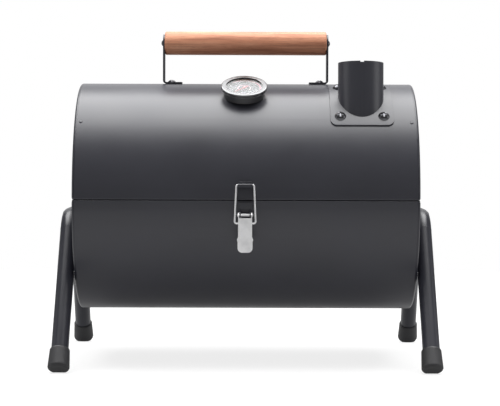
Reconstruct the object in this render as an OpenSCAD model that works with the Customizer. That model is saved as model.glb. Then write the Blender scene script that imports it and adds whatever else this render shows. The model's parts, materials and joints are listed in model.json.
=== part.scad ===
// Portable barrel charcoal grill: a split steel drum on two bent-tube leg frames.
// The lid carries a wooden handle, a dial thermometer and a chimney, and a wire toggle latch
// shuts it at the front. +X runs along the drum, -Y is the front and +Z is up.
// The origin is on the floor, below the middle of the drum. Millimetres and degrees.

/* [Drum] */
// Length of the drum over its end plates
drum_length = 381.5; // [370:0.5:420]
// Outer radius of the drum
drum_radius = 130; // [128:1:133]
// Height of the drum's axis, and of the seam between lid and tub, above the floor
axis_height = 187; // [185:1:195]
// Thickness of the sheet steel
sheet = 1.2; // [1:0.1:1.5]
// Gap between the edges of the lid and the tub when shut
seam_gap = 0.6; // [0.4:0.1:1]
// Radius of the rounded shoulder around each end plate
shoulder = 3; // [2.5:0.5:4]
// Length of the end plates' flange inside the drum
flange_depth = 10; // [6:1:14]
// Depth of the folded hem along the long edges
hem_depth = 8; // [5:1:12]

/* [Air vents] */
// Number of air holes in each end of the tub
vent_count = 5; // [3:1:7]
// Radius of one air hole
vent_radius = 5; // [3:0.5:6]
// Distance of the air holes from the drum's axis
vent_ring = 60; // [50:1:70]

/* [Leg frames] */
// Outer radius of the leg tube
tube_radius = 9.5; // [8:0.5:10]
// Wall of the leg tube
tube_wall = 1.2; // [1:0.1:2]
// Height of the top bar's centre line
bar_height = 165; // [160:1:170]
// Centre line radius of the bends
bend_radius = 32; // [28:1:36]
// Angle between a leg and the vertical
leg_tilt = 33.3; // [30:0.1:35]
// Outward lean of a leg frame from its top bar
leg_lean = 0.8; // [0:0.1:2]
// Half the distance between the legs' centre lines, where they would meet the top bar's
leg_spread = 47.6; // [44:0.1:52]
// Distance of the leg screws from there, down the leg
leg_screw_drop = 73.5; // [70:0.5:76]
// Largest radius of the rubber feet
foot_radius = 12; // [11.5:0.5:13]
// Length of the rubber feet
foot_length = 24.5; // [22:0.5:34]

/* [Handle] */
// Place of the handle along the drum
handle_x = -1; // [-5:0.5:5]
// Length of the wooden grip
grip_length = 187; // [170:1:200]
// Radius of the wooden grip
grip_radius = 13.5; // [11:0.5:15]
// Height of the grip's axis above the drum's axis
grip_height = 177; // [170:1:190]
// Width of the handle's straps
strap_width = 20; // [16:1:24]
// Thickness of the handle's straps
strap_thickness = 2; // [1.5:0.5:3]
// Length of the foot of a strap
strap_foot = 22; // [20:1:26]

/* [Thermometer] */
// Lean of the dial from the top of the lid towards the front
dial_angle = 27; // [24:1:30]
// Place of the dial along the drum
dial_x = -2.5; // [-10:0.5:10]
// Outer radius of the bezel
bezel_radius = 26.1; // [25.5:0.1:28]
// Length of the probe inside the lid
probe_length = 52; // [30:1:55]

/* [Chimney] */
// Outer radius of the chimney pipe
pipe_radius = 25.5; // [20:0.5:26]
// Place of the chimney along the drum
chimney_x = 128.5; // [110:0.5:132]
// Distance of the pipe's axis in front of the drum's axis
chimney_front = 64; // [60:1:72]
// Backward lean of the pipe
chimney_lean = 4.5; // [0:0.5:6]
// Height of the pipe's rim above the drum's axis
chimney_top = 152.3; // [140:0.1:160]
// Width of the saddle plate along the drum
saddle_width = 70; // [66:1:74]
// Lean of the saddle plate's middle towards the front
saddle_angle = 31.8; // [30:0.1:34]
// Half the length of the saddle plate around the drum
saddle_half = 43.2; // [42:0.1:45]

/* [Latch] */
// Place of the latch along the drum
latch_x = -1; // [-5:0.5:5]
// Distance of the lever's pivot below the seam
lever_pivot_drop = 15.8; // [15:0.1:17]
// Distance of the lever's pivot in front of the drum's axis
lever_pivot_front = 136.5; // [136.5:0.1:137]
// Distance of the bail's pivot below the lever's pivot
bail_pivot_drop = 9.1; // [9:0.1:9.5]
// Height of the bail's bar above the seam
bail_bar_height = 16.9; // [16.9:0.1:17.5]
// Radius of the bail's wire
wire_radius = 0.95; // [0.8:0.05:1]
// Width of the lever
lever_width = 15.2; // [15:0.1:15.6]
// Length of the lever below its pivot
lever_length = 40.8; // [38:0.1:46]

/* [Hinges] */
// Distance of each hinge from the middle of the drum
hinge_x = 110; // [90:1:130]
// Width of a hinge
hinge_width = 36; // [30:1:40]
// Radius of a hinge knuckle
knuckle_radius = 3.2; // [3:0.1:3.4]
// Radius of a hinge pin
hinge_pin_radius = 1.5; // [1.2:0.1:1.6]

/* [Grates] */
// Height of the ledges below the cooking grate
cooking_level = 170; // [170:1:174]
// Height of the ledges below the charcoal grate
charcoal_level = 108; // [105:1:112]
// Radius of a grate's thin bars
grate_bar_radius = 1.5; // [1:0.25:2]
// Radius of a grate's frame wire
grate_frame_radius = 2.5; // [2:0.25:3]

/* [Hidden] */
$fn = 72;

LEFT = -1;
RIGHT = 1;
FRONT = -1;
REAR = 1;
BELOW = -1;
ABOVE = 1;

fit = 0.1;                 // gap between sheets that lie on each other
running = 0.05;            // radial clearance of a pin that turns
far = 400;                 // larger than anything that is cut

black_paint = [0.23, 0.23, 0.25];
rubber_black = [0.16, 0.16, 0.17];
zinc = [0.8, 0.8, 0.82];
dark_screw = [0.3, 0.3, 0.32];
wood_brown = [0.66, 0.44, 0.32];
grate_steel = [0.6, 0.6, 0.62];

half_length = drum_length / 2;
inner_radius = drum_radius - sheet;
shell_half = half_length - shoulder;
plate_inner = half_length - sheet;
frame_x = half_length + 0.1 + tube_radius;

// Bolts and nuts, named by their thread radius
m5 = 2.5;
m5_hole = 2.75;
m5_nut = 8 / sqrt(3);      // radius over the corners, 8 mm across the flats
m6 = 3;
m6_hole = 3.2;
m6_nut = 10 / sqrt(3);

// Screw of the rear leg of a frame, as [y, z]
leg_screw = leg_point(leg_screw_drop);

// Centre line of the rear leg, at a distance down from where it would meet the top bar's
function leg_point(s) = [leg_spread + s * sin(leg_tilt), bar_height - s * cos(leg_tilt)];

foot_end_height = 4;       // height of the leg's centre line at the end of the foot
foot_end = (bar_height - foot_end_height) / cos(leg_tilt);
foot_sole = 6;             // rubber under the end of the tube
foot_round = 3;
bend_mark = 0.12;

handle_bolt_x = grip_length / 2 + strap_thickness - 10;
chimney_bolts_x = 24.2;
chimney_bolt_angles = [18.3, 45.3];
saddle_thickness = 1.5;
saddle_outer = drum_radius + fit / 2 + saddle_thickness;
pipe_wall = 1.2;

hinge_y = drum_radius + 0.4 + knuckle_radius;
leaf_thickness = 1.5;
leaf_outer = drum_radius + fit / 2 + leaf_thickness;
leaf_height = 24;
leaf_rivet_angle = 7.2;
leaf_rivet_x = 11;
knuckle_third = hinge_width / 3;

rivet_hole = 1.7;
rivet_shank = 1.6;
rivet_head = 3.2;

lever_pivot = [-lever_pivot_front, axis_height - lever_pivot_drop];
bail_pivot = lever_pivot - [0, bail_pivot_drop];
keeper_outer = drum_radius + fit / 2 + sheet;
bar_clearance = 0.3;
bail_bar = [
    -sqrt(pow(keeper_outer, 2) - pow(bail_bar_height, 2)) - wire_radius - bar_clearance,
    axis_height + bail_bar_height
];
base_ear_inner = 4.9;
base_ear_outer = 6.1;
lever_ear_thickness = 1;
lever_pin_radius = 1.5;
lever_plate_front = lever_pivot_front + 3.8;
latch_base_rivet_angles = [13.4, 17.4];

bezel_seat = drum_radius + 7.9;
bezel_top = drum_radius + 12.4;
case_radius = 23.2;
case_floor = drum_radius + 0.2;
dial_seat = drum_radius + 7.8;
window_radius = 20.5;
stem_radius = 5;

// ---- Placing -------------------------------------------------------------------------------

// Turns a drawing in the XY plane into the YZ plane, so that it is extruded along +X
module in_yz() {
    rotate([90, 0, 90]) children();
}

// A rod or disc along X
module along_x(radius, length) {
    rotate([0, 90, 0]) cylinder(r = radius, h = length, center = true);
}

// Goes to the drum's axis, with local +Z pointing outward at an angle from the top to the front
module around_drum(angle, x = 0) {
    translate([x, 0, axis_height]) rotate([angle, 0, 0]) children();
}

// A box of all that lies above or below the seam, clear of it by a distance
module half_space(side, clear) {
    translate([0, 0, axis_height + side * (far / 2 + clear)])
        cube([2 * far, far, far], center = true);
}

// A strip of a cylinder around the drum's axis: between two heights above or below the seam
module drum_strip(inner, outer, width, low, high, side, face) {
    intersection() {
        translate([0, 0, axis_height]) difference() {
            along_x(outer, width);
            along_x(inner, width + 2);
        }
        translate([0, face * far / 2, axis_height + side * (low + high) / 2])
            cube([2 * far, far, high - low], center = true);
    }
}

// Heading of the path's straight piece i, in degrees
function heading(path, i) = atan2(path[i + 1][1] - path[i][1], path[i + 1][0] - path[i][0]);

// Turn at the path's corner i, from -180 to 180 degrees
function turn(path, i) = let (t = heading(path, i) - heading(path, i - 1)) t - 360 * round(t / 360);

// Length that the bend at a corner takes from each of its straight pieces
function bend_cut(path, i, bend) = i == 0 || i == len(path) - 1 ? 0 : bend * tan(abs(turn(path, i)) / 2);

// Sweeps a round section along a path of straight pieces in the XY plane with round bends.
// The first child is the section, and the second is the faint ridge that bending leaves at each
// end of a bend.
module bent_bar(path, bend, ridge) {
    last = len(path) - 1;
    gap = ridge / 3;
    for (i = [0 : last - 1]) {
        start = bend_cut(path, i, bend) + (i > 0 ? gap : 0);
        end = bend_cut(path, i + 1, bend) + (i < last - 1 ? gap : 0);
        translate(path[i]) rotate([0, 0, heading(path, i)]) translate([start, 0, 0]) rotate([0, 90, 0])
            linear_extrude(norm(path[i + 1] - path[i]) - start - end) children(0);
    }
    for (i = [1 : last - 1]) {
        side = sign(turn(path, i));
        cut = bend_cut(path, i, bend);
        translate(path[i]) rotate([0, 0, heading(path, i - 1)]) {
            translate([-cut, side * bend, 0]) rotate([0, 0, side > 0 ? -90 : 90 - abs(turn(path, i))])
                rotate_extrude(angle = abs(turn(path, i))) translate([bend, 0]) children(0);
            translate([-cut - ridge / 2, 0, 0]) rotate([0, 90, 0]) linear_extrude(ridge) children(1);
        }
        translate(path[i]) rotate([0, 0, heading(path, i)]) translate([cut - ridge / 2, 0, 0])
            rotate([0, 90, 0]) linear_extrude(ridge) children(1);
    }
}

// ---- Fasteners -----------------------------------------------------------------------------

// A domed head that stands on z = 0
module domed_head(radius, height) {
    ball = (radius * radius + height * height) / (2 * height);
    intersection() {
        cylinder(r = radius, h = height);
        translate([0, 0, height - ball]) sphere(r = ball);
    }
}

// A pan head screw with a cross recess, its head on z = 0 and its shank below
module pan_head_screw(thread, head_radius, head_height, shank_length) {
    difference() {
        union() {
            domed_head(head_radius, head_height);
            translate([0, 0, -shank_length]) cylinder(r = thread, h = shank_length + 0.1);
        }
        for (turn = [0, 90])
            rotate([0, 0, turn]) translate([0, 0, head_height])
                cube([1.13 * head_radius, head_radius / 4, 1.1 * head_height], center = true);
    }
}

// A hex nut, its upper face on z = 0
module hex_nut(corner_radius, bore, height) {
    translate([0, 0, -height]) difference() {
        cylinder(r = corner_radius, h = height, $fn = 6);
        translate([0, 0, -1]) cylinder(r = bore + running, h = height + 2);
    }
}

// A blind rivet through a stack of sheet, its head on z = 0
module rivet(grip) {
    tail = 1.6;
    domed_head(rivet_head, 1.3);
    translate([0, 0, -grip - 0.2]) cylinder(r = rivet_shank, h = grip + 0.3);
    translate([0, 0, -grip - 0.2 - tail]) cylinder(r = 2.5, h = tail);
}

// ---- Drum ----------------------------------------------------------------------------------

// One half of the drum's wall, with a folded hem and a round bead along its two long edges
module half_shell(side) {
    length = 2 * shell_half;
    edge = seam_gap / 2;
    intersection() {
        translate([0, 0, axis_height]) difference() {
            along_x(drum_radius, length);
            along_x(inner_radius, length + 2);
        }
        half_space(side, edge + sheet);
    }
    for (face = [FRONT, REAR]) {
        translate([0, face * (drum_radius - sheet), axis_height + side * (edge + sheet)])
            along_x(sheet, length);
        drum_strip(inner_radius - sheet, inner_radius + 0.01, length, edge + sheet, hem_depth, side, face);
    }
}

// Section of an end plate: plate, rounded shoulder, step and flange, with the radius along X
module end_section() {
    flange_outer = inner_radius - fit;
    translate([0, plate_inner]) square([drum_radius - shoulder, sheet]);
    translate([drum_radius - shoulder, shell_half]) intersection() {
        difference() {
            circle(r = shoulder);
            circle(r = shoulder - sheet);
        }
        square(shoulder);
    }
    translate([flange_outer - sheet, shell_half + 0.02])
        square([sheet + fit + sheet / 2, sheet]);
    translate([flange_outer - sheet, shell_half - flange_depth])
        square([sheet, flange_depth + sheet]);
}

// One half of a round end plate: the flange stops short of the hems, and the corners are rounded
module end_plate(end, side) {
    edge = seam_gap / 2;
    difference() {
        intersection() {
            translate([0, 0, axis_height]) rotate([0, end * 90, 0]) rotate_extrude($fn = 120) end_section();
            half_space(side, edge);
        }
        for (face = [FRONT, REAR]) {
            translate([
                end * (shell_half - flange_depth / 2),
                face * drum_radius,
                axis_height + side * hem_depth / 2
            ]) cube([flange_depth + 0.1, 12, hem_depth + 1], center = true);
            end_corner(end, side, face);
        }
    }
}

// Cutter that rounds the corner where the shoulder meets the seam
module end_corner(end, side, face) {
    edge = seam_gap / 2;
    translate([end * shell_half, face * drum_radius, axis_height + side * (edge + shoulder)])
        difference() {
            translate([end * shoulder, 0, -side * shoulder])
                cube([2 * shoulder, 16, 2 * shoulder], center = true);
            rotate([90, 0, 0]) cylinder(r = shoulder, h = 18, center = true);
        }
}

// Rivet holes of the four hinge leaves on one half of the drum
module hinge_rivet_cuts(side) {
    for (end = [LEFT, RIGHT], offset = [-leaf_rivet_x, leaf_rivet_x])
        around_drum(-90 + side * leaf_rivet_angle, end * hinge_x + offset)
            translate([0, 0, drum_radius - 5]) cylinder(r = rivet_hole, h = 10);
}

module tub_shell() {
    color(black_paint) difference() {
        half_shell(BELOW);
        hinge_rivet_cuts(BELOW);
        for (angle = latch_base_rivet_angles)
            around_drum(90 + angle, latch_x)
                translate([0, 0, drum_radius - 5]) cylinder(r = rivet_hole, h = 10);
    }
}

module tub_end(end) {
    color(black_paint) difference() {
        end_plate(end, BELOW);
        translate([end * half_length, 0, bar_height]) along_x(m5_hole, 10);
        for (face = [FRONT, REAR])
            translate([end * half_length, face * leg_screw[0], leg_screw[1]]) along_x(m5_hole, 10);
        for (i = [0 : vent_count - 1]) {
            turn = (i - (vent_count - 1) / 2) * 80 / (vent_count - 1);
            translate([end * half_length, vent_ring * sin(turn), axis_height - vent_ring * cos(turn)])
                along_x(vent_radius, 10);
        }
    }
}

// Steel angles inside the tub's ends: short ones carry the cooking grate, long ones the charcoal grate
module grate_ledges() {
    ledge_width = 30;
    ledge_height = 12;
    color(black_paint)
        for (end = [LEFT, RIGHT], level = [[cooking_level, 60, 12], [charcoal_level, 45, 26]], face = [FRONT, REAR])
            translate([end * plate_inner, face * level[1], level[0]]) {
                translate([-end * level[2] / 2, 0, -sheet / 2])
                    cube([level[2], ledge_width, sheet], center = true);
                translate([-end * sheet / 2, 0, -ledge_height / 2])
                    cube([sheet, ledge_width, ledge_height], center = true);
            }
}

// ---- Legs ----------------------------------------------------------------------------------

// Centre line of a leg frame in the YZ plane, from one tube end to the other
leg_path = [
    [-leg_point(foot_end - foot_sole)[0], leg_point(foot_end - foot_sole)[1]],
    [-leg_spread, bar_height],
    [leg_spread, bar_height],
    leg_point(foot_end - foot_sole)
];

// Goes to a leg frame, which leans outward from its top bar
module on_frame(end) {
    translate([end * frame_x, 0, bar_height]) rotate([0, -end * leg_lean, 0])
        translate([0, 0, -bar_height]) children();
}

module leg_frame(end) {
    color(black_paint) difference() {
        on_frame(end) in_yz() bent_bar(leg_path, bend_radius, 1.2) {
            difference() {
                circle(r = tube_radius);
                circle(r = tube_radius - tube_wall);
            }
            difference() {
                circle(r = tube_radius + bend_mark);
                circle(r = tube_radius - tube_wall - bend_mark);
            }
        }
        translate([end * frame_x, 0, bar_height]) along_x(m5_hole, 3 * tube_radius);
        for (face = [FRONT, REAR])
            translate([end * (frame_x - tube_radius), face * leg_screw[0], leg_screw[1]])
                along_x(m5_hole, tube_radius);
    }
}

// Section of a foot, which narrows from its sole to its top
module foot_section() {
    bevel = 1.5;
    top_radius = foot_radius - 1;
    polygon([
        [0, 0],
        [foot_radius - foot_round, 0],
        [foot_radius - foot_round, foot_round],
        [foot_radius, foot_round],
        [top_radius, foot_length - bevel],
        [top_radius - bevel / 2, foot_length],
        [0, foot_length]
    ]);
    intersection() {
        translate([foot_radius - foot_round, foot_round]) circle(r = foot_round);
        square([foot_radius, foot_round]);
    }
}

module foot(end, face) {
    color(rubber_black) difference() {
        on_frame(end) mirror([0, face == FRONT ? 1 : 0, 0])
            translate([0, leg_point(foot_end)[0], leg_point(foot_end)[1]]) rotate([leg_tilt, 0, 0])
                difference() {
                    rotate_extrude() foot_section();
                    translate([0, 0, foot_sole]) cylinder(r = tube_radius + 0.02, h = foot_length);
                }
        translate([0, 0, -far / 2]) cube([2 * far, 2 * far, far], center = true);
    }
}

// A button head bolt through each top bar, and a screw into each leg from inside the tub
module leg_bolts() {
    outer = frame_x + tube_radius + 0.02;
    screw_length = 8;
    color(dark_screw)
        for (end = [LEFT, RIGHT]) {
            translate([end * outer, 0, bar_height]) rotate([0, end * 90, 0]) {
                domed_head(5.5, 3.4);
                translate([0, 0, plate_inner - 6 - outer]) cylinder(r = m5, h = outer - plate_inner + 6.1);
            }
            for (face = [FRONT, REAR])
                translate([end * (plate_inner - 0.05), face * leg_screw[0], leg_screw[1]])
                    rotate([0, -end * 90, 0]) {
                        domed_head(4.75, 2.8);
                        translate([0, 0, -screw_length]) cylinder(r = m5, h = screw_length + 0.1);
                    }
        }
}

module leg_nuts() {
    color(dark_screw)
        for (end = [LEFT, RIGHT])
            translate([end * (plate_inner - 0.1), 0, bar_height]) rotate([0, end * 90, 0])
                rotate([0, 0, 30]) hex_nut(m5_nut, m5, 4);
}

// ---- Hinges --------------------------------------------------------------------------------

// One leaf of a butt hinge, curved to lie on the drum: knuckles is the list of its knuckles,
// as shares of a third of the hinge's width from its middle
module hinge_leaf(end, side, knuckles, bore) {
    relief = 0.5;
    pivot = [end * hinge_x, hinge_y, axis_height];
    difference() {
        union() {
            translate([end * hinge_x, 0, 0])
                drum_strip(drum_radius + fit / 2, leaf_outer, hinge_width, knuckle_radius + relief, leaf_height, side, REAR);
            for (k = knuckles) {
                translate([end * hinge_x + k * knuckle_third, 0, 0])
                    drum_strip(drum_radius + fit / 2, leaf_outer, knuckle_third - 0.4, 0.6, leaf_height, side, REAR);
                translate(pivot + [k * knuckle_third, 0, 0]) along_x(knuckle_radius, knuckle_third - 0.4);
            }
        }
        translate(pivot) along_x(bore, hinge_width + 10);
        for (offset = [-leaf_rivet_x, leaf_rivet_x])
            around_drum(-90 + side * leaf_rivet_angle, end * hinge_x + offset)
                translate([0, 0, drum_radius - 1]) cylinder(r = rivet_hole, h = 8);
    }
}

module tub_hinge_leaf(end) {
    color(black_paint) hinge_leaf(end, BELOW, [-1, 1], hinge_pin_radius);
}

module lid_hinge_leaf(end) {
    color(black_paint) hinge_leaf(end, ABOVE, [0], hinge_pin_radius + running);
}

module hinge_rivets(side) {
    color(dark_screw)
        for (end = [LEFT, RIGHT], offset = [-leaf_rivet_x, leaf_rivet_x])
            around_drum(-90 + side * leaf_rivet_angle, end * hinge_x + offset)
                translate([0, 0, leaf_outer + 0.02]) rivet(leaf_outer - inner_radius);
}

module tub_hinge_rivets() {
    hinge_rivets(BELOW);
}

module lid_hinge_rivets() {
    hinge_rivets(ABOVE);
}

module hinge_pins() {
    color(dark_screw)
        for (end = [LEFT, RIGHT])
            translate([end * hinge_x, hinge_y, axis_height]) along_x(hinge_pin_radius, hinge_width + 1);
}

// ---- Lid -----------------------------------------------------------------------------------

module lid_shell() {
    color(black_paint) difference() {
        half_shell(ABOVE);
        hinge_rivet_cuts(ABOVE);
        for (end = [LEFT, RIGHT])
            around_drum(0, handle_x + end * handle_bolt_x)
                translate([0, 0, drum_radius - 5]) cylinder(r = m5_hole, h = 10);
        around_drum(dial_angle, dial_x) translate([0, 0, drum_radius - 5]) cylinder(r = stem_radius + 0.2, h = 10);
        chimney_cuts();
    }
}

module lid_end(end) {
    color(black_paint) end_plate(end, ABOVE);
}

// ---- Handle --------------------------------------------------------------------------------

// A flat strap, bent inward into a foot at the bottom and rounded over the end of the grip
module handle_bracket(end) {
    outer = grip_length / 2 + strap_thickness;
    bend = 4;
    foot_z = axis_height + drum_radius + 0.02;
    grip_z = axis_height + grip_height;
    color(black_paint) translate([handle_x, 0, 0]) difference() {
        union() {
            translate([0, strap_width / 2, 0]) rotate([90, 0, 0]) linear_extrude(strap_width) {
                translate([end > 0 ? outer - strap_foot : bend - outer, foot_z])
                    square([strap_foot - bend, strap_thickness]);
                translate([end > 0 ? outer - strap_thickness : -outer, foot_z + bend])
                    square([strap_thickness, grip_z - foot_z - bend]);
                translate([end * (outer - bend), foot_z + bend]) intersection() {
                    difference() {
                        circle(r = bend);
                        circle(r = bend - strap_thickness);
                    }
                    translate([end > 0 ? 0 : -bend, -bend]) square(bend);
                }
            }
            translate([end * (outer - strap_thickness / 2), 0, grip_z]) along_x(strap_width / 2, strap_thickness);
        }
        translate([end * outer, 0, grip_z]) along_x(2.2, 3 * strap_thickness);
        translate([end * handle_bolt_x, 0, foot_z - 1]) cylinder(r = m5_hole, h = 10);
    }
}

module handle_grip() {
    round_edge = 2.5;
    screw_depth = 26;
    color(wood_brown) translate([handle_x, 0, axis_height + grip_height]) difference() {
        rotate([0, 90, 0]) translate([0, 0, -grip_length / 2]) rotate_extrude() {
            square([grip_radius - round_edge, grip_length]);
            translate([0, round_edge]) square([grip_radius, grip_length - 2 * round_edge]);
            for (z = [round_edge, grip_length - round_edge]) intersection() {
                translate([grip_radius - round_edge, z]) circle(r = round_edge);
                square([grip_radius, grip_length]);
            }
        }
        for (end = [LEFT, RIGHT])
            translate([end * grip_length / 2, 0, 0]) along_x(2 + running, 2 * screw_depth);
    }
}

module handle_screws() {
    outer = grip_length / 2 + strap_thickness + 0.02;
    color(dark_screw)
        for (end = [LEFT, RIGHT])
            translate([handle_x + end * outer, 0, axis_height + grip_height]) rotate([0, end * 90, 0]) {
                domed_head(4, 2.2);
                translate([0, 0, -24]) cylinder(r = 2, h = 24.1);
            }
}

module handle_bolts() {
    color(dark_screw)
        for (end = [LEFT, RIGHT])
            around_drum(0, handle_x + end * handle_bolt_x)
                translate([0, 0, drum_radius + strap_thickness + 0.04]) pan_head_screw(m5, 4.75, 2.8, 11);
}

module handle_nuts() {
    color(dark_screw)
        for (end = [LEFT, RIGHT])
            around_drum(0, handle_x + end * handle_bolt_x)
                translate([0, 0, inner_radius - 0.2]) hex_nut(m5_nut, m5, 4);
}

// ---- Thermometer ---------------------------------------------------------------------------

module on_dial() {
    around_drum(dial_angle, dial_x) children();
}

module thermometer_case() {
    floor_thickness = 1.2;
    color(black_paint) on_dial() difference() {
        translate([0, 0, case_floor]) cylinder(r = case_radius, h = dial_seat - case_floor);
        translate([0, 0, case_floor + floor_thickness]) cylinder(r = case_radius - 1, h = 10);
        translate([0, 0, case_floor - 1]) cylinder(r = stem_radius - 1 + running, h = 10);
    }
}

module thermometer_dial() {
    color("white") on_dial() translate([0, 0, dial_seat]) difference() {
        cylinder(r = case_radius, h = 0.6);
        translate([0, 0, -1]) cylinder(r = 0.9, h = 3);
    }
}

// Section of the bezel: a cup around the window, with a rolled outer edge and a bead at its foot
module bezel_section() {
    roll = 1.2;
    bead = 0.8;
    lip = 0.9;
    inner = case_radius + running;
    outer = bezel_radius - roll;
    translate([inner, bezel_seat]) square([outer - inner, bezel_top - bezel_seat]);
    translate([window_radius, bezel_top - lip]) square([outer - window_radius, lip]);
    translate([outer, bezel_top - roll]) circle(r = roll);
    translate([outer, bezel_seat + bead]) circle(r = bead);
}

module thermometer_bezel() {
    color(zinc) on_dial() rotate_extrude() bezel_section();
}

module thermometer_lens() {
    lens_thickness = 1.2;
    color([0.9, 0.95, 1, 0.3]) on_dial() translate([0, 0, bezel_top - 0.92 - lens_thickness])
        cylinder(r = case_radius, h = lens_thickness);
}

// Threaded stem below the case, and the thin probe that reaches into the lid
module thermometer_probe() {
    thread_length = 9;
    color(zinc) on_dial() {
        translate([0, 0, case_floor - thread_length]) cylinder(r = stem_radius - running, h = thread_length);
        translate([0, 0, case_floor - 0.1]) cylinder(r = stem_radius - 1, h = 2.4);
        translate([0, 0, inner_radius - probe_length + 2]) cylinder(r = 2.2, h = probe_length - 8);
        translate([0, 0, inner_radius - probe_length + 2]) sphere(r = 2.2);
    }
}

module thermometer_nut() {
    color(zinc) on_dial() translate([0, 0, inner_radius - 0.45])
        hex_nut(17 / sqrt(3), stem_radius - running, 4);
}

// Pointer with a round hub and a short tail, at the cold end of the scale
module thermometer_needle() {
    rest_turn = 225;
    color("red") on_dial() translate([0, 0, dial_seat + 1]) rotate([0, 0, rest_turn]) {
        linear_extrude(0.4) polygon([[-6, -1], [15.5, -0.35], [15.5, 0.35], [-6, 1]]);
        cylinder(r = 2, h = 0.8);
        translate([0, 0, -1.4]) cylinder(r = 0.6, h = 1.5);
    }
}

// ---- Chimney -------------------------------------------------------------------------------

// Goes to the chimney's axis at the height of its rim, with local +Z along the pipe
module on_chimney() {
    translate([chimney_x, -chimney_front, axis_height + chimney_top]) rotate([-chimney_lean, 0, 0]) children();
}

// Smoke hole and screw holes, cut through the lid and the saddle plate
module chimney_cuts() {
    on_chimney() translate([0, 0, -90]) cylinder(r = pipe_radius - pipe_wall, h = 95);
    for (angle = chimney_bolt_angles, offset = [-chimney_bolts_x, chimney_bolts_x])
        around_drum(angle, chimney_x + offset) translate([0, 0, drum_radius - 5]) cylinder(r = m6_hole, h = 10);
}

module chimney_pipe() {
    notch_width = 4;
    notch_depth = 1.3;
    color(black_paint) difference() {
        on_chimney() translate([0, 0, -80]) difference() {
            cylinder(r = pipe_radius, h = 80);
            translate([0, 0, -1]) cylinder(r = pipe_radius - pipe_wall, h = 82);
            translate([0, -pipe_radius, 80]) cube([notch_width, 6, 2 * notch_depth], center = true);
        }
        translate([0, 0, axis_height]) along_x(saddle_outer, 2 * drum_length);
    }
}

// Curved plate under the chimney, with rounded corners
module chimney_saddle() {
    corner = 7;
    inset = [saddle_width / 2 - corner, saddle_half - corner];
    color(black_paint) difference() {
        intersection() {
            translate([0, 0, axis_height]) difference() {
                along_x(saddle_outer, 2 * drum_length);
                along_x(drum_radius + fit / 2, 2 * drum_length + 2);
            }
            around_drum(saddle_angle, chimney_x) linear_extrude(2 * drum_radius) {
                square([saddle_width, 2 * inset[1]], center = true);
                square([2 * inset[0], 2 * saddle_half], center = true);
                for (u = [-1, 1], v = [-1, 1])
                    translate([u * inset[0], v * inset[1]]) circle(r = corner);
            }
        }
        chimney_cuts();
    }
}

module chimney_screws() {
    color(dark_screw)
        for (angle = chimney_bolt_angles, offset = [-chimney_bolts_x, chimney_bolts_x])
            around_drum(angle, chimney_x + offset)
                translate([0, 0, saddle_outer + 0.02]) pan_head_screw(m6, 6.4, 4.3, 11);
}

module chimney_nuts() {
    color(dark_screw)
        for (angle = chimney_bolt_angles, offset = [-chimney_bolts_x, chimney_bolts_x])
            around_drum(angle, chimney_x + offset) translate([0, 0, inner_radius - 0.2]) hex_nut(m6_nut, m6, 5);
}

// ---- Latch ---------------------------------------------------------------------------------

// Plate under the lever, with two ears for the pivot pin
module latch_base() {
    ear_radius = 3.2;
    ear_thickness = base_ear_outer - base_ear_inner;
    color(black_paint) difference() {
        union() {
            translate([latch_x, 0, 0])
                drum_strip(drum_radius + fit / 2, keeper_outer, 15, 2.4, 44, BELOW, FRONT);
            for (ear = [-1, 1])
                translate([latch_x + ear * (base_ear_inner + base_ear_outer) / 2 - ear_thickness / 2, 0, 0])
                    in_yz() linear_extrude(ear_thickness) {
                        translate(lever_pivot) circle(r = ear_radius);
                        polygon([
                            lever_pivot + [0, ear_radius],
                            lever_pivot + [8, 7],
                            lever_pivot + [10, -9],
                            lever_pivot + [0, -ear_radius]
                        ]);
                    }
        }
        translate([0, 0, axis_height]) along_x(drum_radius + fit / 2, 2 * drum_length);
        translate([latch_x, lever_pivot[0], lever_pivot[1]]) along_x(lever_pin_radius, 30);
        for (angle = latch_base_rivet_angles)
            around_drum(90 + angle, latch_x)
                translate([0, 0, drum_radius - 1]) cylinder(r = rivet_hole, h = 8);
    }
}

module latch_base_rivets() {
    color(zinc)
        for (angle = latch_base_rivet_angles)
            around_drum(90 + angle, latch_x)
                translate([0, 0, keeper_outer + 0.02]) rivet(keeper_outer - inner_radius);
}

module latch_pivot_pin() {
    pin_half = lever_width / 2 + 0.2;
    color(zinc) translate([latch_x, lever_pivot[0], lever_pivot[1]]) {
        along_x(lever_pin_radius, 2 * pin_half);
        for (side = [-1, 1])
            translate([side * pin_half, 0, 0]) rotate([0, side * 90, 0]) domed_head(2.4, 0.9);
    }
}

// Hook plate welded on the lid: the bail's bar lies on its shelf, behind a low lip
module latch_keeper() {
    shelf_top = bail_bar[1] - wire_radius - 0.2;
    lip_front = 141.4;
    lip_height = 2.3;
    hook_width = 16.6;
    shelf_back = drum_radius - 1;
    color(black_paint) difference() {
        union() {
            translate([latch_x, 0, 0])
                drum_strip(drum_radius + fit / 2, keeper_outer, 14, 2.4, 20.7, ABOVE, FRONT);
            translate([latch_x - hook_width / 2, -lip_front, shelf_top - sheet])
                cube([hook_width, lip_front - shelf_back, sheet]);
            translate([latch_x - hook_width / 2, -lip_front, shelf_top - sheet])
                cube([hook_width, sheet, sheet + lip_height - sheet / 2]);
            translate([latch_x, sheet / 2 - lip_front, shelf_top + lip_height - sheet / 2])
                along_x(sheet / 2, hook_width);
        }
        translate([0, 0, axis_height]) along_x(drum_radius + fit / 2, 2 * drum_length);
    }
}

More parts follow.
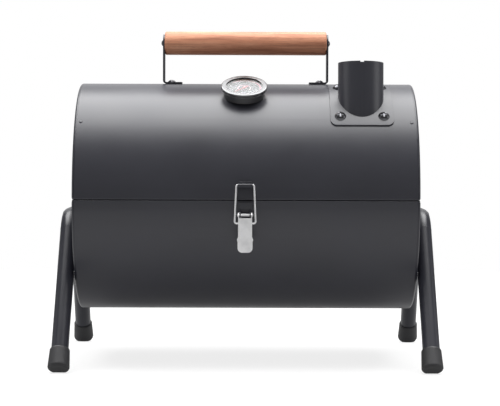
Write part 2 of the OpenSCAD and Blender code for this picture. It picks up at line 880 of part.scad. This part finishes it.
// Outline of the lever from the front, its pivot at y = 0: straight, flared, with round corners
module lever_outline() {
    half = lever_width / 2;
    top = -3.2;
    flare = -25.5;
    tab_half = half + 0.55;
    corner = 5;
    polygon([
        [-half, top], [-half, flare + 2], [-half - 1.2, flare - 1], [-tab_half, flare - 4],
        [-tab_half, corner - lever_length], [tab_half, corner - lever_length],
        [tab_half, flare - 4], [half + 1.2, flare - 1], [half, flare + 2], [half, top]
    ]);
    translate([corner - tab_half, -lever_length]) square([2 * (tab_half - corner), corner + 1]);
    for (side = [-1, 1])
        translate([side * (tab_half - corner), corner - lever_length]) circle(r = corner);
}

// Pressed lever: a front plate with a folded ear and flange along each side
module latch_lever() {
    front = -lever_plate_front;
    half = lever_width / 2;
    ear_radius = 2.8;
    color(zinc) difference() {
        union() {
            translate([latch_x, front, lever_pivot[1]]) rotate([90, 0, 0])
                translate([0, 0, -lever_ear_thickness]) linear_extrude(lever_ear_thickness) lever_outline();
            for (side = [-1, 1])
                translate([latch_x + side * (half - lever_ear_thickness / 2) - lever_ear_thickness / 2, 0, 0])
                    in_yz() linear_extrude(lever_ear_thickness) {
                        translate(lever_pivot) circle(r = ear_radius);
                        translate(bail_pivot) circle(r = ear_radius - 0.2);
                        polygon([
                            lever_pivot + [0, ear_radius],
                            [front + 1.2, lever_pivot[1] + 1.5],
                            [front, lever_pivot[1]],
                            [front, lever_pivot[1] - 24],
                            [front + 2.4, lever_pivot[1] - 23],
                            [front + 3, lever_pivot[1] - 14],
                            bail_pivot + [0, 0.2 - ear_radius],
                            bail_pivot + [ear_radius - 0.2, 0],
                            lever_pivot + [ear_radius, 0]
                        ]);
                    }
        }
        translate([latch_x, lever_pivot[0], lever_pivot[1]]) along_x(lever_pin_radius + running, 30);
        translate([latch_x, bail_pivot[0], bail_pivot[1]]) along_x(wire_radius + running, 30);
    }
}

// The bail: a wire loop whose two ends turn in holes of the lever's ears
module latch_bail() {
    reach = bail_bar - bail_pivot;
    lean = atan2(reach[0], reach[1]);
    inner_end = 6.5;
    foot_half = 11.5;
    top_half = 9.7;
    bail_path = [
        [-inner_end, 0], [-foot_half, 0], [-top_half, norm(reach)],
        [top_half, norm(reach)], [foot_half, 0], [inner_end, 0]
    ];
    color(zinc) translate([latch_x, bail_pivot[0], bail_pivot[1]]) rotate([90 - lean, 0, 0])
        bent_bar(bail_path, 2.2, 0.6) {
            circle(r = wire_radius);
            circle(r = wire_radius + 0.04);
        }
}

// ---- Grates --------------------------------------------------------------------------------

// A welded wire grate: a frame of thick wire, cross wires, and thin bars lying on top
module grate(half_x, half_y, level, bar_count, cross_count) {
    sink = 0.4;
    frame_z = level + grate_frame_radius + 0.02;
    bar_z = frame_z + grate_frame_radius + grate_bar_radius - sink;
    for (face = [FRONT, REAR])
        translate([0, face * half_y, frame_z]) along_x(grate_frame_radius, 2 * half_x);
    for (end = [LEFT, RIGHT])
        translate([end * half_x, 0, frame_z]) rotate([90, 0, 0])
            cylinder(r = grate_frame_radius, h = 2 * half_y, center = true);
    for (end = [LEFT, RIGHT], face = [FRONT, REAR])
        translate([end * half_x, face * half_y, frame_z]) sphere(r = grate_frame_radius);
    for (i = [1 : cross_count])
        translate([0, half_y * (2 * i / (cross_count + 1) - 1), frame_z + grate_frame_radius - grate_bar_radius])
            along_x(grate_bar_radius, 2 * half_x);
    for (i = [0 : bar_count - 1])
        translate([half_x * (2 * (i + 0.5) / bar_count - 1), 0, bar_z]) rotate([90, 0, 0])
            cylinder(r = grate_bar_radius, h = 2 * half_y + 2, center = true);
}

module cooking_grate() {
    color(grate_steel) grate(plate_inner - 5.5, 112, cooking_level, 28, 2);
}

module charcoal_grate() {
    color(grate_steel) grate(170, 92, charcoal_level, 18, 1);
}

// ---- Nodes ---------------------------------------------------------------------------------

tub_shell();
tub_end(LEFT);  // tub_end_left
tub_end(RIGHT);  // tub_end_right
grate_ledges();
leg_frame(LEFT);  // leg_frame_left
leg_frame(RIGHT);  // leg_frame_right
leg_bolts();
leg_nuts();
foot(LEFT, FRONT);  // foot_front_left
foot(RIGHT, FRONT);  // foot_front_right
foot(LEFT, REAR);  // foot_rear_left
foot(RIGHT, REAR);  // foot_rear_right
latch_base();
latch_base_rivets();
latch_pivot_pin();
tub_hinge_leaf(LEFT);  // tub_hinge_leaf_left
tub_hinge_leaf(RIGHT);  // tub_hinge_leaf_right
tub_hinge_rivets();
hinge_pins();
lid_shell();
lid_end(LEFT);  // lid_end_left
lid_end(RIGHT);  // lid_end_right
lid_hinge_leaf(LEFT);  // lid_hinge_leaf_left
lid_hinge_leaf(RIGHT);  // lid_hinge_leaf_right
lid_hinge_rivets();
handle_bracket(LEFT);  // handle_bracket_left
handle_bracket(RIGHT);  // handle_bracket_right
handle_grip();
handle_screws();
handle_bolts();
handle_nuts();
thermometer_case();
thermometer_dial();
thermometer_bezel();
thermometer_lens();
thermometer_probe();
thermometer_nut();
thermometer_needle();
chimney_pipe();
chimney_saddle();
chimney_screws();
chimney_nuts();
latch_keeper();
latch_lever();
latch_bail();
cooking_grate();
charcoal_grate();
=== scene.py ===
"""Looks of the barrel charcoal grill: materials, dial print, weld marks, studio and camera. Metres."""
import json
import math

import bmesh
import bpy
from mathutils import Matrix, Vector


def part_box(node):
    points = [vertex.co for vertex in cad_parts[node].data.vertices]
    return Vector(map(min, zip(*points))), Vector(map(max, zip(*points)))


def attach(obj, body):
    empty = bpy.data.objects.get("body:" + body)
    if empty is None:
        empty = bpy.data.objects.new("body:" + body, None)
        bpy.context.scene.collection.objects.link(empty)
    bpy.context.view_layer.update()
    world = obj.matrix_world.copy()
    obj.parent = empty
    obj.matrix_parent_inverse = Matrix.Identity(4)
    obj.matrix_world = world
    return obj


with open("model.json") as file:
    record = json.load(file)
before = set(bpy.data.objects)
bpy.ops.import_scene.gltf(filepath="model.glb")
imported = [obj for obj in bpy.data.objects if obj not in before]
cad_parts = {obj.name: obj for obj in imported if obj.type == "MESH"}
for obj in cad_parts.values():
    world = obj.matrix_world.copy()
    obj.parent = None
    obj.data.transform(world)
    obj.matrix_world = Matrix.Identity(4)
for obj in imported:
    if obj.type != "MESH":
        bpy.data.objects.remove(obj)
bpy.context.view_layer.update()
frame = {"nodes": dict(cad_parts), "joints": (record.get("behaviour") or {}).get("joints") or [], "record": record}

NODES = frame["nodes"]

# ---- Places, read from the frame -----------------------------------------------------------

SHELL_LOW, SHELL_HIGH = (Vector(corner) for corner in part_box("tub_shell"))
DRUM_RADIUS = (SHELL_HIGH.y - SHELL_LOW.y) / 2
AXIS_HEIGHT = SHELL_LOW.z + DRUM_RADIUS
SHELL_HALF = SHELL_HIGH.x
DIAL_JOINT = next(joint for joint in frame["joints"] if joint["name"] == "needle_turn")

# Angles of the dial's first and last mark, counterclockwise from its right-hand side
SCALE_START = 225
SCALE_END = -45


# ---- Node helpers --------------------------------------------------------------------------

def new_material(name):
    """An empty node material with a Principled shader joined to its output."""
    material = bpy.data.materials.new(name)
    material.use_nodes = True
    nodes = material.node_tree.nodes
    shader = next(n for n in nodes if n.type == "BSDF_PRINCIPLED")
    return material, nodes, material.node_tree.links, shader


def coordinates(nodes, links, scale=(1, 1, 1)):
    """The object's own coordinates in metres, stretched by a scale."""
    source = nodes.new("ShaderNodeTexCoord")
    mapping = nodes.new("ShaderNodeMapping")
    mapping.inputs["Scale"].default_value = scale
    links.new(source.outputs["Object"], mapping.inputs["Vector"])
    return mapping.outputs["Vector"]


def noise(nodes, links, vector, scale, detail=3.0, roughness=0.55, distortion=0.0):
    """A noise value around 0.5."""
    node = nodes.new("ShaderNodeTexNoise")
    node.inputs["Scale"].default_value = scale
    node.inputs["Detail"].default_value = detail
    node.inputs["Roughness"].default_value = roughness
    node.inputs["Distortion"].default_value = distortion
    links.new(vector, node.inputs["Vector"])
    return node.outputs["Fac"]


def ramp(nodes, links, factor, stops):
    """A colour ramp through stops of (position, colour)."""
    node = nodes.new("ShaderNodeValToRGB")
    elements = node.color_ramp.elements
    while len(elements) < len(stops):
        elements.new(0.5)
    for element, (position, colour) in zip(elements, stops):
        element.position = position
        element.color = (*colour, 1)
    links.new(factor, node.inputs["Fac"])
    return node.outputs["Color"]


def spread(nodes, links, factor, low, high):
    """Maps a noise value to a range."""
    node = nodes.new("ShaderNodeMapRange")
    node.inputs["From Min"].default_value = 0.3
    node.inputs["From Max"].default_value = 0.7
    node.inputs["To Min"].default_value = low
    node.inputs["To Max"].default_value = high
    links.new(factor, node.inputs["Value"])
    return node.outputs["Result"]


def add_bump(nodes, links, shader, height, strength, distance, edge=0.0):
    """A bump on the shader, over edges that look softly rounded by a radius."""
    node = nodes.new("ShaderNodeBump")
    node.inputs["Strength"].default_value = strength
    node.inputs["Distance"].default_value = distance
    links.new(height, node.inputs["Height"])
    if edge:
        bevel = nodes.new("ShaderNodeBevel")
        bevel.samples = 4
        bevel.inputs["Radius"].default_value = edge
        links.new(bevel.outputs["Normal"], node.inputs["Normal"])
    links.new(node.outputs["Normal"], shader.inputs["Normal"])


# ---- Materials -----------------------------------------------------------------------------

def painted_steel(name, colour, low, high):
    """Satin heat-proof paint: a fine orange peel, faint clouding and slightly paler worn edges."""
    material, nodes, links, shader = new_material(name)
    vector = coordinates(nodes, links)
    cloud = noise(nodes, links, vector, 14, 4)
    grain = noise(nodes, links, vector, 1500, 2)
    dark = tuple(0.9 * c for c in colour)
    pale = tuple(1.12 * c for c in colour)
    base = ramp(nodes, links, cloud, [(0.3, dark), (0.7, pale)])
    edges = nodes.new("ShaderNodeNewGeometry").outputs["Pointiness"]
    wear = ramp(nodes, links, edges, [(0.52, (0, 0, 0)), (0.62, (0.02, 0.02, 0.021))])
    mix = nodes.new("ShaderNodeMix")
    mix.data_type = "RGBA"
    mix.blend_type = "ADD"
    mix.inputs["Factor"].default_value = 1
    links.new(base, mix.inputs["A"])
    links.new(wear, mix.inputs["B"])
    links.new(mix.outputs["Result"], shader.inputs["Base Color"])
    links.new(spread(nodes, links, cloud, low, high), shader.inputs["Roughness"])
    add_bump(nodes, links, shader, grain, 0.10, 0.0002, edge=0.0004)
    return material


def plated_steel(name, colour, low, high, grain_scale=(1, 1, 1), metallic=1.0):
    """Plated or bare steel with faint streaks and fingerprints."""
    material, nodes, links, shader = new_material(name)
    vector = coordinates(nodes, links, grain_scale)
    streak = noise(nodes, links, vector, 260, 3)
    smudge = noise(nodes, links, coordinates(nodes, links), 90, 3)
    dark = tuple(0.82 * c for c in colour)
    base = ramp(nodes, links, smudge, [(0.3, dark), (0.65, colour)])
    links.new(base, shader.inputs["Base Color"])
    links.new(spread(nodes, links, streak, low, high), shader.inputs["Roughness"])
    shader.inputs["Metallic"].default_value = metallic
    add_bump(nodes, links, shader, streak, 0.12, 0.0001, edge=0.0003)
    return material


def moulded_rubber(name, colour):
    """Matt rubber with a little dust and fine pores."""
    material, nodes, links, shader = new_material(name)
    vector = coordinates(nodes, links)
    dust = noise(nodes, links, vector, 60, 5)
    pores = noise(nodes, links, vector, 1800, 2)
    pale = tuple(1.5 * c for c in colour)
    links.new(ramp(nodes, links, dust, [(0.35, colour), (0.75, pale)]), shader.inputs["Base Color"])
    links.new(spread(nodes, links, dust, 0.48, 0.62), shader.inputs["Roughness"])
    add_bump(nodes, links, shader, pores, 0.25, 0.0002, edge=0.0008)
    return material


def oiled_wood(name):
    """Reddish hardwood with its grain along X: broad tone, long streaks and fine dark pores."""
    material, nodes, links, shader = new_material(name)
    broad = noise(nodes, links, coordinates(nodes, links, (3, 34, 34)), 3.2, 4, 0.6, 0.6)
    streak = noise(nodes, links, coordinates(nodes, links, (1.4, 60, 60)), 9, 6, 0.6, 0.3)
    pores = noise(nodes, links, coordinates(nodes, links, (4, 130, 130)), 22, 4, 0.7)
    tone = ramp(nodes, links, broad, [
        (0.30, (0.44, 0.185, 0.108)), (0.50, (0.66, 0.295, 0.175)), (0.72, (0.78, 0.40, 0.25))
    ])
    lines = ramp(nodes, links, streak, [
        (0.34, (0.62, 0.55, 0.52)), (0.50, (0.95, 0.93, 0.92)), (0.70, (1.0, 1.0, 1.0))
    ])
    dots = ramp(nodes, links, pores, [(0.36, (0.60, 0.52, 0.48)), (0.46, (1, 1, 1))])
    colour = tone
    for layer in (lines, dots):
        mix = nodes.new("ShaderNodeMix")
        mix.data_type = "RGBA"
        mix.blend_type = "MULTIPLY"
        mix.inputs["Factor"].default_value = 0.85
        links.new(colour, mix.inputs["A"])
        links.new(layer, mix.inputs["B"])
        colour = mix.outputs["Result"]
    links.new(colour, shader.inputs["Base Color"])
    links.new(spread(nodes, links, streak, 0.62, 0.50), shader.inputs["Roughness"])
    shader.inputs["Specular IOR Level"].default_value = 0.3
    add_bump(nodes, links, shader, streak, 0.25, 0.0003)
    return material


def printed_face(name, colour):
    """Matt print or paint on the dial, with the faintest mottling."""
    material, nodes, links, shader = new_material(name)
    speck = noise(nodes, links, coordinates(nodes, links), 500, 2)
    pale = tuple(min(1, 1.05 * c) for c in colour)
    links.new(ramp(nodes, links, speck, [(0.3, colour), (0.7, pale)]), shader.inputs["Base Color"])
    links.new(spread(nodes, links, speck, 0.42, 0.5), shader.inputs["Roughness"])
    add_bump(nodes, links, shader, speck, 0.05, 0.0001)
    return material


def clear_glass(name):
    """Clear glass with a faint haze."""
    material, nodes, links, shader = new_material(name)
    haze = noise(nodes, links, coordinates(nodes, links), 40, 3)
    shader.inputs["Base Color"].default_value = (0.97, 0.985, 1, 1)
    shader.inputs["Transmission Weight"].default_value = 1
    shader.inputs["IOR"].default_value = 1.45
    links.new(spread(nodes, links, haze, 0.02, 0.09), shader.inputs["Roughness"])
    return material


MATERIALS = {
    "black_paint": painted_steel("black_paint", (0.0152, 0.0158, 0.0238), 0.30, 0.37),
    "case_black": painted_steel("case_black", (0.022, 0.022, 0.024), 0.28, 0.36),
    "rubber_feet": moulded_rubber("rubber_feet", (0.020, 0.020, 0.022)),
    "dark_fasteners": plated_steel("dark_fasteners", (0.13, 0.13, 0.14), 0.16, 0.26),
    "bright_zinc": plated_steel("bright_zinc", (0.97, 0.97, 0.98), 0.28, 0.38, (8, 8, 1), metallic=0.4),
    "bezel_chrome": plated_steel("bezel_chrome", (0.17, 0.17, 0.175), 0.10, 0.20),
    "probe_steel": plated_steel("probe_steel", (0.60, 0.59, 0.57), 0.24, 0.34),
    "grate_wire": plated_steel("grate_wire", (0.58, 0.58, 0.59), 0.18, 0.30),
    "dial_face": printed_face("dial_face", (0.045, 0.045, 0.048)),
    "needle_red": printed_face("needle_red", (0.42, 0.05, 0.06)),
    "lens_glass": clear_glass("lens_glass"),
    "wood_grip": oiled_wood("wood_grip"),
}
SCALE_PRINT = printed_face("scale_print", (0.06, 0.06, 0.065))
HOT_PRINT = printed_face("hot_print", (0.62, 0.20, 0.24))
WARM_PRINT = printed_face("warm_print", (0.66, 0.42, 0.44))


def dress_cad_nodes():
    """Gives every CAD node the material of its slot."""
    for part in frame["record"]["subparts"]:
        piece = NODES[part["node"]]
        material = MATERIALS[part["material_slot"]]
        for slot in piece.material_slots:
            slot.material = material


# ---- Added pieces --------------------------------------------------------------------------

def piece_from(mesh, name, body, materials):
    """Makes an object from a bmesh and sets what it rides on."""
    data = bpy.data.meshes.new(name)
    mesh.to_mesh(data)
    mesh.free()
    for material in materials:
        data.materials.append(material)
    piece = bpy.data.objects.new(name, data)
    bpy.context.collection.objects.link(piece)
    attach(piece, body)
    return piece


def drum_place(x, angle):
    """Matrix to the drum's outside at an angle from the top to the front, with +Z outward."""
    place = Matrix.Translation((x, 0, AXIS_HEIGHT)) @ Matrix.Rotation(angle, 4, "X")
    return place @ Matrix.Translation((0, 0, DRUM_RADIUS))


def weld_marks():
    """Shallow round spot-weld marks near both ends of the lid, where the end plates are fixed."""
    mark_radius = 0.0021
    mark_height = 0.00045
    from_end = 0.0045
    rings = 4
    segments = 20
    mesh = bmesh.new()
    for end in (-1, 1):
        for angle in (49, -49):
            place = drum_place(end * (SHELL_HALF - from_end), math.radians(angle))
            crown = mesh.verts.new(place @ Vector((0, 0, mark_height)))
            loops = []
            for ring in range(1, rings + 1):
                share = ring / rings
                height = mark_height * math.cos(share * math.pi / 2) - 0.00005 * share
                loops.append([
                    mesh.verts.new(place @ Vector((
                        mark_radius * share * math.cos(math.tau * i / segments),
                        mark_radius * share * math.sin(math.tau * i / segments),
                        height,
                    )))
                    for i in range(segments)
                ])
            for i in range(segments):
                j = (i + 1) % segments
                mesh.faces.new((crown, loops[0][i], loops[0][j]))
                for inner, outer in zip(loops, loops[1:]):
                    mesh.faces.new((inner[i], outer[i], outer[j], inner[j]))
            mesh.faces.new(list(reversed(loops[-1])))
    for face in mesh.faces:
        face.smooth = True
    return piece_from(mesh, "lid_weld_marks", "lid", [MATERIALS["black_paint"]])


def dial_matrix():
    """Matrix to the middle of the dial's face: +Z out of it, +Y up the scale."""
    outward = -Vector(DIAL_JOINT["axis"])
    across = Vector((1, 0, 0))
    up = outward.cross(across)
    low, high = (Vector(corner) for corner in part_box("thermometer_dial"))
    middle = (low + high) / 2
    half_thickness = 0.0003
    print_lift = half_thickness + 0.00004
    facing = Matrix((across, up, outward)).transposed().to_4x4()
    return Matrix.Translation(middle + outward * print_lift) @ facing


def ring_band(mesh, place, inner, outer, start, end, thickness, index):
    """A thin raised band of the dial's print, between two angles in degrees."""
    steps = max(2, int(abs(end - start) / 6))
    faces = []
    rows = []
    for i in range(steps + 1):
        angle = math.radians(start + (end - start) * i / steps)
        ray = Vector((math.cos(angle), math.sin(angle), 0))
        rows.append([
            mesh.verts.new(place @ (ray * radius + Vector((0, 0, height))))
            for radius, height in ((inner, 0), (outer, 0), (outer, thickness), (inner, thickness))
        ])
    for one, two in zip(rows, rows[1:]):
        for k in range(4):
            faces.append(mesh.faces.new((one[k], one[(k + 1) % 4], two[(k + 1) % 4], two[k])))
    faces.append(mesh.faces.new(rows[0][::-1]))
    faces.append(mesh.faces.new(rows[-1]))
    for face in faces:
        face.material_index = index


def dial_print():
    """Scale ring with ticks, and a warm and a hot zone."""
    thickness = 0.00006
    ring = 0.0170
    ticks = 28
    place = dial_matrix()
    mesh = bmesh.new()
    ring_band(mesh, place, ring, ring + 0.0003, SCALE_END, SCALE_START, thickness, 0)
    for i in range(ticks + 1):
        angle = SCALE_START + (SCALE_END - SCALE_START) * i / ticks
        long_tick = i % 4 == 0
        inner = ring - (0.0026 if long_tick else 0.0014)
        half = 0.9 if long_tick else 0.5
        ring_band(mesh, place, inner, ring - 0.0001, angle - half, angle + half, thickness, 0)
    ring_band(mesh, place, ring + 0.0006, ring + 0.0022, SCALE_END, 45, thickness, 1)
    ring_band(mesh, place, ring + 0.0006, ring + 0.0022, 46.5, 135, thickness, 2)
    ring_band(mesh, place, 0.0066, 0.0078, SCALE_END, SCALE_START, thickness, 2)
    bmesh.ops.recalc_face_normals(mesh, faces=mesh.faces)
    return piece_from(mesh, "dial_scale", "lid", [SCALE_PRINT, HOT_PRINT, WARM_PRINT])


def dial_numbers():
    """Numbers of the scale, as thin raised print in the built-in font."""
    count = 8
    text_radius = 0.0118
    text_size = 0.0032
    thickness = 0.00003
    place = dial_matrix()
    for i in range(count):
        angle = math.radians(SCALE_START + (SCALE_END - SCALE_START) * i / (count - 1))
        curve = bpy.data.curves.new(f"dial_number_{i}", "FONT")
        curve.body = str(50 * (i + 1))
        curve.size = text_size
        curve.extrude = thickness
        curve.align_x = "CENTER"
        curve.align_y = "CENTER"
        curve.materials.append(SCALE_PRINT)
        number = bpy.data.objects.new(f"dial_number_{i}", curve)
        bpy.context.collection.objects.link(number)
        spot = Vector((math.cos(angle) * text_radius, math.sin(angle) * text_radius, thickness))
        number.matrix_world = place @ Matrix.Translation(spot)
        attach(number, "lid")


# ---- Studio --------------------------------------------------------------------------------

def pale_floor():
    """A plain pale disc that the camera sees as white; for other rays it glows, with a painted shadow below the
    grill.
    """
    radius = 1.35
    glow_to_camera = 0.80
    # Painted shadow in the floor's glow for other rays: dim glow below the grill, full glow away from it
    painted_shadow_glow, glow_away = 0.18, 0.50
    painted_shadow_core_radius, painted_shadow_edge_radius = 0.07, 0.30
    mesh = bmesh.new()
    bmesh.ops.create_circle(mesh, cap_ends=True, radius=radius, segments=96)
    data = bpy.data.meshes.new("studio_floor")
    mesh.to_mesh(data)
    mesh.free()
    material, nodes, links, shader = new_material("studio_floor")
    soft = noise(nodes, links, coordinates(nodes, links), 3, 2)
    links.new(ramp(nodes, links, soft, [(0.3, (0.20, 0.20, 0.20)), (0.7, (0.22, 0.22, 0.22))]),
              shader.inputs["Base Color"])
    shader.inputs["Roughness"].default_value = 0.7
    shader.inputs["Specular IOR Level"].default_value = 0
    shader.inputs["Emission Color"].default_value = (1, 1, 1, 1)
    # Other surfaces see a glowing floor with a painted shadow: its glow is dim below the grill and brighter away
    # from it
    away = nodes.new("ShaderNodeVectorMath")
    away.operation = "LENGTH"
    links.new(coordinates(nodes, links, (0.5, 1, 1)), away.inputs[0])
    floor_glow_with_painted_shadow = nodes.new("ShaderNodeMapRange")
    floor_glow_with_painted_shadow.inputs["From Min"].default_value = painted_shadow_core_radius
    floor_glow_with_painted_shadow.inputs["From Max"].default_value = painted_shadow_edge_radius
    floor_glow_with_painted_shadow.inputs["To Min"].default_value = painted_shadow_glow
    floor_glow_with_painted_shadow.inputs["To Max"].default_value = glow_away
    links.new(away.outputs["Value"], floor_glow_with_painted_shadow.inputs["Value"])
    path = nodes.new("ShaderNodeLightPath")
    glow = nodes.new("ShaderNodeMapRange")
    links.new(path.outputs["Is Camera Ray"], glow.inputs["Value"])
    links.new(floor_glow_with_painted_shadow.outputs["Result"], glow.inputs["To Min"])
    glow.inputs["To Max"].default_value = glow_to_camera
    links.new(glow.outputs["Result"], shader.inputs["Emission Strength"])
    data.materials.append(material)
    floor = bpy.data.objects.new("studio_floor", data)
    bpy.context.collection.objects.link(floor)


def soft_light(name, place, aim, size, power):
    """A rectangular soft box at a place, aimed at a point."""
    data = bpy.data.lights.new(name, "AREA")
    data.shape = "RECTANGLE"
    data.size, data.size_y = size
    data.energy = power
    light = bpy.data.objects.new(name, data)
    light.location = place
    light.rotation_euler = (Vector(aim) - Vector(place)).to_track_quat("-Z", "Y").to_euler()
    light.visible_camera = False
    bpy.context.collection.objects.link(light)


def studio():
    """A white world that lights only weakly, two soft boxes overhead and three weak panels."""
    world = bpy.data.worlds.new("studio")
    world.use_nodes = True
    nodes = world.node_tree.nodes
    links = world.node_tree.links
    background = nodes["Background"]
    path = nodes.new("ShaderNodeLightPath")
    strength = nodes.new("ShaderNodeMapRange")
    strength.inputs["To Min"].default_value = 0.25
    strength.inputs["To Max"].default_value = 1.0
    links.new(path.outputs["Is Camera Ray"], strength.inputs["Value"])
    background.inputs["Color"].default_value = (1, 1, 1, 1)
    links.new(strength.outputs["Result"], background.inputs["Strength"])
    bpy.context.scene.world = world
    soft_light("overhead_box", (0, 0.275, 1.75), (0, 0.275, 0), (2.4, 1.44), 54)
    soft_light("overhead_spill", (0, 0.35, 1.78), (0, 0.35, 0), (2.8, 2.5), 44)
    soft_light("rear_glow", (0, 2.4, 1.25), (0, 0, 0.3), (3.0, 1.3), 8)
    soft_light("right_panel", (2.2, -0.25, 0.6), (0, 0, 0.3), (1.2, 1.2), 6)
    soft_light("left_panel", (-2.2, -0.25, 0.6), (0, 0, 0.3), (1.2, 1.2), 4)


def camera():
    """A long lens, level with the lid's upper part, looking slightly down at the middle."""
    distance = 2.093
    height = 0.263
    pitch = 2.30
    pan = -0.125
    roll = 0.19
    data = bpy.data.cameras.new("camera")
    data.lens = 129.6
    data.sensor_width = 36
    data.clip_end = 20
    view = bpy.data.objects.new("camera", data)
    view.location = (0, -distance, height)
    aim = Matrix.Rotation(math.radians(pan), 4, "Z") @ Matrix.Rotation(math.radians(90 - pitch), 4, "X")
    view.rotation_euler = (aim @ Matrix.Rotation(math.radians(roll), 4, "Z")).to_euler()
    bpy.context.collection.objects.link(view)
    bpy.context.scene.camera = view
    bpy.context.scene.view_settings.view_transform = "Standard"


dress_cad_nodes()
weld_marks()
dial_print()
dial_numbers()
pale_floor()
studio()
camera()

bpy.context.view_layer.update()
